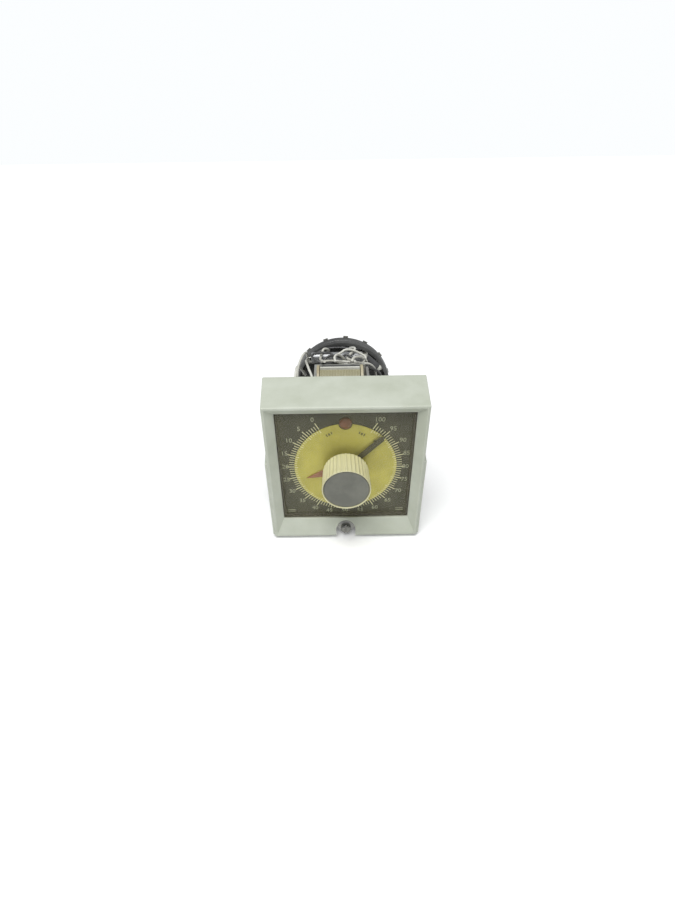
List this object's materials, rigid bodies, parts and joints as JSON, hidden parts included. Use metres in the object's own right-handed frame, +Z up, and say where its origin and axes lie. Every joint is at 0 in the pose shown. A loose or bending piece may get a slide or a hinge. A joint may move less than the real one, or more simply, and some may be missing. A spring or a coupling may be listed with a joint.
{
  "type": "plug-in panel timer",
  "caption": "Plug-in panel timer: square bezel, round scale with setting knob, clock motor, clutch coil and snap switches on a plate chassis, round plug.",
  "frame": {"origin": "centre of the bounding box in plan, on the level of the bezel's lower back edge and the rear foot, where the object rests", "axes": "+X to the right seen from the front, +Y from the dial back to the plug, +Z up"},
  "size_m": [0.0896, 0.1224, 0.0913],
  "materials": {
    "putty": "fine moulded texture, slightly yellowed",
    "smoke": "clear, faintly smoke-tinted sheet",
    "black": "black moulded phenolic",
    "dial_grey": "matt dark grey paint with pale scale print",
    "gold": "satin gold lacquer",
    "cream": "moulded cream plastic, finely fluted",
    "grey_disc": "spun grey disc",
    "hand_dark": "dark paint",
    "hand_red": "faded red paint",
    "lamp_red": "red translucent jewel",
    "glass": "clear bulb glass",
    "zinc": "zinc-plated sheet",
    "bright": "bright turned steel",
    "brass": "cut brass",
    "nylon": "natural nylon",
    "tape": "amber coil tape",
    "can_grey": "dull grey can",
    "insulation": "off-white wire insulation"
  },
  "bodies": {
    "chassis": {"bezel": "putty", "lens": "smoke", "dial_spacer": "black", "dial_plate": "dial_grey", "gold_disc": "gold", "front_plate": "zinc", "gear_plate": "zinc", "rear_plate": "zinc", "post_top_left": "bright", "post_top_right": "bright", "post_low_left": "bright", "post_low_right": "bright", "lamp_lens": "lamp_red", "lamp_bulb": "glass", "lamp_holder": "black", "motor_case": "zinc", "coil_bobbin": "nylon", "coil_winding": "tape", "coil_core": "bright", "coil_frame": "zinc", "armature_spring": "bright", "trip_switch": "black", "clutch_switch": "black", "plug_base": "black", "plug_post_left": "bright", "plug_post_right": "bright", "capacitor": "can_grey", "sleeved_resistor": "black", "latch_strap": "zinc", "wire_coil_a": "insulation", "wire_coil_b": "insulation", "wire_motor": "insulation", "wire_switch": "insulation", "contact_01": "bright", "contact_02": "bright", "contact_03": "bright", "contact_04": "bright", "contact_05": "bright", "contact_06": "bright", "contact_07": "bright", "contact_08": "bright", "contact_09": "bright", "contact_10": "bright", "contact_11": "bright"},
    "setting": {"knob": "cream", "knob_cap": "grey_disc", "set_shaft": "bright", "set_pointer": "hand_dark"},
    "progress": {"progress_pointer": "hand_red", "progress_hub": "bright", "progress_gear": "brass", "trip_cam": "nylon"},
    "intermediate": {"intermediate_arbor": "bright", "intermediate_gear": "brass"},
    "motor_rotor": {"motor_pinion": "bright"},
    "clutch_armature": {"armature": "bright"},
    "trip_lever_arm": {"trip_lever": "bright"},
    "clutch_lever_arm": {"clutch_lever": "bright"},
    "latch_collar": {"locking_washer": "bright"},
    "latch_bolt": {"locking_screw": "bright"}
  },
  "joints": [
    {"name": "set_turn", "type": "hinge", "parent": "chassis", "child": "setting", "pos_m": [0, -0.0478, 0.04825], "axis": [0, -1, 0], "range_deg": [-285, 15]},
    {"name": "progress_turn", "type": "hinge", "parent": "chassis", "child": "progress", "pos_m": [0, -0.0278, 0.04825], "axis": [0, -1, 0], "range_deg": [-78, 222]},
    {"name": "intermediate_turn", "type": "hinge", "parent": "chassis", "child": "intermediate", "pos_m": [-0.01302, -0.0278, 0.03496], "axis": [0, -1, 0], "continuous": true},
    {"name": "motor_turn", "type": "hinge", "parent": "chassis", "child": "motor_rotor", "pos_m": [0, -0.0238, 0.02636], "axis": [0, -1, 0], "continuous": true},
    {"name": "armature_pull", "type": "hinge", "parent": "chassis", "child": "clutch_armature", "pos_m": [0.014, 0.0202, 0.07365], "axis": [0, 0, 1], "range_deg": [-4, 0], "stiffness_Nm_per_rad": 0.02, "springref_deg": 5.73, "deforming": ["armature_spring"]},
    {"name": "trip_lever_press", "type": "hinge", "parent": "chassis", "child": "trip_lever_arm", "pos_m": [-0.009, -0.0223, 0.05915], "axis": [0, -1, 0], "range_deg": [0, 3], "stiffness_Nm_per_rad": 0.004, "springref_deg": -11.46},
    {"name": "clutch_lever_press", "type": "hinge", "parent": "chassis", "child": "clutch_lever_arm", "pos_m": [0.0172, 0.0011, 0.07365], "axis": [0, 0, 1], "range_deg": [0, 2], "stiffness_Nm_per_rad": 0.004, "springref_deg": -11.46},
    {"name": "latch_draw", "type": "slide", "parent": "chassis", "child": "latch_collar", "axis": [0, -1, 0], "range_m": [0, 0.0025]},
    {"name": "latch_turn", "type": "hinge", "parent": "latch_collar", "child": "latch_bolt", "pos_m": [0, -0.0448, 0.00625], "axis": [0, -1, 0], "continuous": true}
  ],
  "couplings": [
    {"joint": "intermediate_turn", "follows": "progress_turn", "ratio": -4.1667},
    {"joint": "motor_turn", "follows": "progress_turn", "ratio": 13.889}
  ]
}
